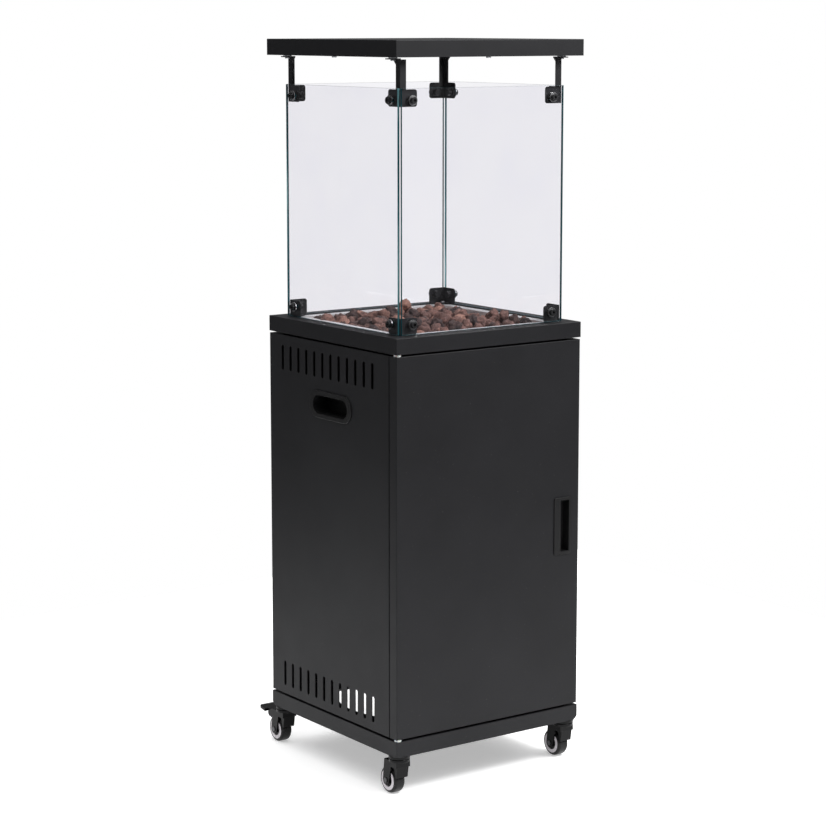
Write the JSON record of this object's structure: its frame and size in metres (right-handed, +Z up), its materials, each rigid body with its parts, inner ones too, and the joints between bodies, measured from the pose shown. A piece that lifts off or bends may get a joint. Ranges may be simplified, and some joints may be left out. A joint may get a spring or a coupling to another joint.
{
  "type": "outdoor heater",
  "caption": "Square gas patio heater: a wheeled steel cabinet with a door, a tray of lava rocks inside glass panes, and a flat top plate on posts.",
  "frame": {"origin": "on the floor, under the middle of the whole outline from the door handle to the brake pedals", "axes": "+X right seen from the front, -Y towards the door, +Z up"},
  "size_m": [0.423, 0.468, 1.36],
  "materials": {
    "powder_coat": "satin powder coat",
    "bracket_black": "satin black",
    "stainless": "brushed",
    "lava_rock": "rough",
    "glass": "polished",
    "washer_steel": "satin",
    "zinc_steel": "zinc plated",
    "pad_rubber": "matte",
    "black_plastic": "fine moulded grain",
    "white_nylon": "matte",
    "magnet": "matte",
    "ceramic": "matte",
    "valve_brass": "cast",
    "feed_aluminium": "drawn",
    "caster_black": "gloss black",
    "tyre_rubber": "matte",
    "hub_grey": "satin",
    "axle_steel": "polished"
  },
  "bodies": {
    "cabinet": {"base_pan": "powder_coat", "side_panel_left": "powder_coat", "side_panel_right": "powder_coat", "back_panel": "powder_coat", "hand_grip_left": "black_plastic", "hand_grip_right": "black_plastic", "deck": "powder_coat", "burner_pan": "stainless", "burner_tube": "stainless", "lava_rocks": "lava_rock", "pilot_bracket": "stainless", "ignition_electrode": "ceramic", "thermocouple": "zinc_steel", "glass_front": "glass", "glass_back": "glass", "glass_left": "glass", "glass_right": "glass", "upper_brackets": "bracket_black", "lower_brackets": "bracket_black", "clamp_bolts": "bracket_black", "clamp_washers": "washer_steel", "clamp_pads": "pad_rubber", "clamp_nuts": "bracket_black", "top_plate": "powder_coat", "heat_shield": "stainless", "screws_and_spacers": "zinc_steel", "hinge_pins": "zinc_steel", "hinge_washers": "white_nylon", "door_magnet": "magnet", "control_panel": "zinc_steel", "gas_valve": "valve_brass", "igniter_housing": "black_plastic", "tilt_switch": "black_plastic", "gas_feed_pipe": "feed_aluminium", "gas_inlet_nipple": "valve_brass", "caster_mounts": "caster_black"},
    "door": {"door_panel": "powder_coat", "door_handle": "black_plastic", "strike_plate": "zinc_steel"},
    "spindle": {"valve_spindle": "zinc_steel"},
    "knob": {"control_knob": "black_plastic"},
    "button": {"igniter_button": "black_plastic"},
    "swivel_front_left": {"caster_fork_front_left": "caster_black", "caster_axle_front_left": "axle_steel"},
    "wheel_front_left": {"caster_hub_front_left": "hub_grey", "caster_tyre_front_left": "tyre_rubber"},
    "swivel_rear_left": {"caster_fork_rear_left": "caster_black", "caster_axle_rear_left": "axle_steel"},
    "wheel_rear_left": {"caster_hub_rear_left": "hub_grey", "caster_tyre_rear_left": "tyre_rubber"},
    "pedal_rear_left": {"brake_pedal_rear_left": "caster_black"},
    "swivel_front_right": {"caster_fork_front_right": "caster_black", "caster_axle_front_right": "axle_steel"},
    "wheel_front_right": {"caster_hub_front_right": "hub_grey", "caster_tyre_front_right": "tyre_rubber"},
    "swivel_rear_right": {"caster_fork_rear_right": "caster_black", "caster_axle_rear_right": "axle_steel"},
    "wheel_rear_right": {"caster_hub_rear_right": "hub_grey", "caster_tyre_rear_right": "tyre_rubber"},
    "pedal_rear_right": {"brake_pedal_rear_right": "caster_black"}
  },
  "joints": [
    {"name": "door_hinge", "type": "hinge", "parent": "cabinet", "child": "door", "pos_m": [-0.202, -0.225, 0.4575], "axis": [0, 0, -1], "range_deg": [0, 110]},
    {"name": "knob_push", "type": "slide", "parent": "cabinet", "child": "spindle", "axis": [0, 1, 0], "range_m": [0, 0.004], "stiffness_N_per_m": 500, "springref_m": -0.002},
    {"name": "knob_turn", "type": "hinge", "parent": "spindle", "child": "knob", "pos_m": [0, -0.21, 0.762], "axis": [0, -1, 0], "range_deg": [0, 180]},
    {"name": "igniter_push", "type": "slide", "parent": "cabinet", "child": "button", "axis": [0, 1, 0], "range_m": [0, 0.004], "stiffness_N_per_m": 400, "springref_m": -0.002},
    {"name": "swivel_front_left", "type": "hinge", "parent": "cabinet", "child": "swivel_front_left", "pos_m": [-0.191, -0.214, 0.065], "axis": [0, 0, 1], "continuous": true},
    {"name": "wheel_front_left", "type": "hinge", "parent": "swivel_front_left", "child": "wheel_front_left", "pos_m": [-0.191, -0.193, 0.025], "axis": [1, 0, 0], "continuous": true},
    {"name": "swivel_rear_left", "type": "hinge", "parent": "cabinet", "child": "swivel_rear_left", "pos_m": [-0.191, 0.168, 0.065], "axis": [0, 0, 1], "continuous": true},
    {"name": "wheel_rear_left", "type": "hinge", "parent": "swivel_rear_left", "child": "wheel_rear_left", "pos_m": [-0.191, 0.189, 0.025], "axis": [1, 0, 0], "continuous": true},
    {"name": "brake_rear_left", "type": "hinge", "parent": "swivel_rear_left", "child": "pedal_rear_left", "pos_m": [-0.191, 0.204, 0.054], "axis": [-1, 0, 0], "range_deg": [0, 18]},
    {"name": "swivel_front_right", "type": "hinge", "parent": "cabinet", "child": "swivel_front_right", "pos_m": [0.191, -0.214, 0.065], "axis": [0, 0, 1], "continuous": true},
    {"name": "wheel_front_right", "type": "hinge", "parent": "swivel_front_right", "child": "wheel_front_right", "pos_m": [0.191, -0.193, 0.025], "axis": [1, 0, 0], "continuous": true},
    {"name": "swivel_rear_right", "type": "hinge", "parent": "cabinet", "child": "swivel_rear_right", "pos_m": [0.191, 0.168, 0.065], "axis": [0, 0, 1], "continuous": true},
    {"name": "wheel_rear_right", "type": "hinge", "parent": "swivel_rear_right", "child": "wheel_rear_right", "pos_m": [0.191, 0.189, 0.025], "axis": [1, 0, 0], "continuous": true},
    {"name": "brake_rear_right", "type": "hinge", "parent": "swivel_rear_right", "child": "pedal_rear_right", "pos_m": [0.191, 0.204, 0.054], "axis": [-1, 0, 0], "range_deg": [0, 18]}
  ]
}
